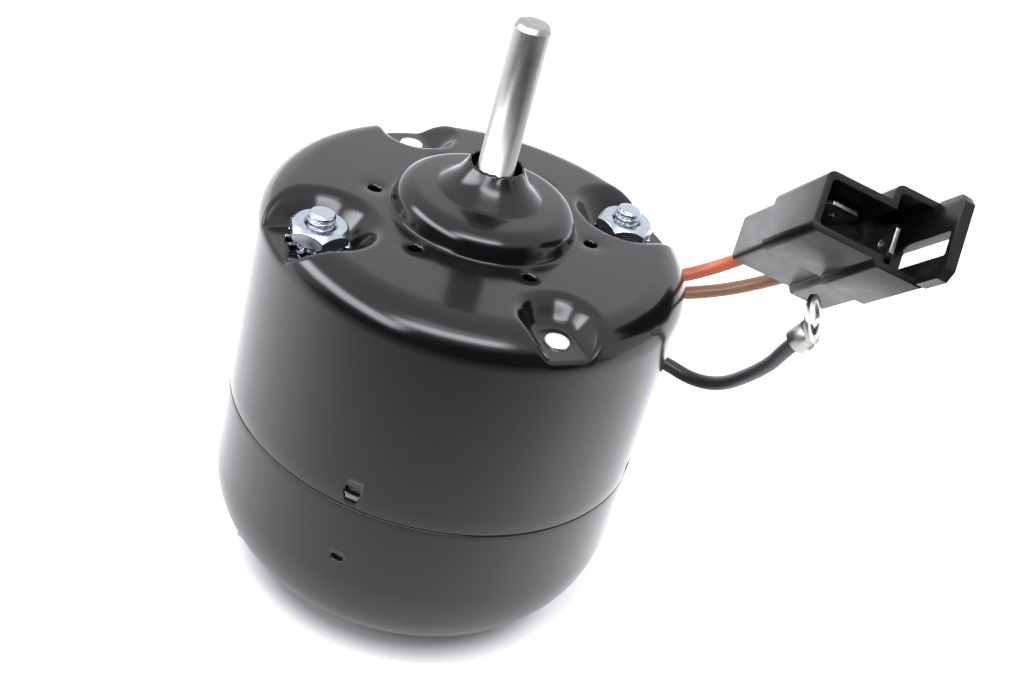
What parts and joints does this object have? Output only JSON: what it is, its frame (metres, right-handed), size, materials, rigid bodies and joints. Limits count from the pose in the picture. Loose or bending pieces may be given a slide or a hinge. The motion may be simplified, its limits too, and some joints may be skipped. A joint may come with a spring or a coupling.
{
  "type": "blower motor",
  "caption": "Small permanent-magnet motor for a cabin fan: round black casing, plain shaft, through bolts, plug with two blades on short leads and an earth lead with a ring terminal",
  "frame": {"origin": "on the floor under the shaft's axis, at the rear boss's flat", "axes": "+Z along the shaft to its free end, X through the two long bolts, Y through the two rivets, leads on the +X side"},
  "size_m": [0.1022, 0.0928, 0.1148],
  "materials": {
    "black_paint": "glossy black stoved paint on drawn steel",
    "zinc": "bluish zinc plate",
    "rivet_steel": "bright plated rivet",
    "ground_steel": "ground steel",
    "bright_steel": "plain sheet steel",
    "sintered_bronze": "porous oiled bronze",
    "felt": "oiled felt",
    "orange_pvc": "satin orange insulation",
    "brown_pvc": "satin tan-brown insulation",
    "black_pvc": "satin black insulation, finely ribbed",
    "black_nylon": "satin black moulded nylon",
    "black_rubber": "moulded rubber",
    "tinned_brass": "tinned brass",
    "laminate": "brown laminate sheet",
    "brass_sheet": "folded brass sheet",
    "carbon": "copper-graphite",
    "ferrite": "pressed ferrite",
    "core_steel": "laminated steel",
    "copper": "enamelled copper wire",
    "commutator_copper": "turned copper bars"
  },
  "bodies": {
    "casing": {"upper_shell": "black_paint", "lower_shell": "black_paint", "bolt_left": "zinc", "bolt_right": "zinc", "nut_left": "zinc", "nut_right": "zinc", "tooth_washer_left": "zinc", "tooth_washer_right": "zinc", "rivet_front": "rivet_steel", "rivet_back": "rivet_steel", "lead_orange": "orange_pvc", "lead_brown": "brown_pvc", "lead_black": "black_pvc", "connector_housing": "black_nylon", "blade_terminal_flat": "tinned_brass", "blade_terminal_upright": "tinned_brass", "ring_terminal": "tinned_brass", "feed_grommet": "black_rubber", "earth_grommet": "black_rubber", "brush_card": "laminate", "brush_holder_front": "brass_sheet", "brush_holder_back": "brass_sheet", "brush_spring_front": "bright_steel", "brush_spring_back": "bright_steel", "front_bearing": "sintered_bronze", "rear_bearing": "sintered_bronze", "front_retainer": "bright_steel", "rear_retainer": "bright_steel", "front_felt": "felt", "rear_felt": "felt", "magnet_front": "ferrite", "magnet_back": "ferrite", "magnet_clip_left": "bright_steel", "magnet_clip_right": "bright_steel"},
    "armature": {"shaft": "ground_steel", "armature_core": "core_steel", "armature_windings": "copper", "commutator": "commutator_copper", "front_thrust_washer": "bright_steel", "rear_thrust_washer": "bright_steel"},
    "brush_front": {"brush_front": "carbon"},
    "brush_back": {"brush_back": "carbon"}
  },
  "joints": [
    {"name": "armature_spin", "type": "hinge", "parent": "casing", "child": "armature", "pos_m": [0, 0, 0.04], "axis": [0, 0, 1], "continuous": true},
    {"name": "brush_front_slide", "type": "slide", "parent": "casing", "child": "brush_front", "axis": [0, -1, 0], "range_m": [0, 0.0025], "stiffness_N_per_m": 150, "springref_m": -0.01, "deforming": ["brush_spring_front"]},
    {"name": "brush_back_slide", "type": "slide", "parent": "casing", "child": "brush_back", "axis": [0, 1, 0], "range_m": [0, 0.0025], "stiffness_N_per_m": 150, "springref_m": -0.01, "deforming": ["brush_spring_back"]}
  ]
}
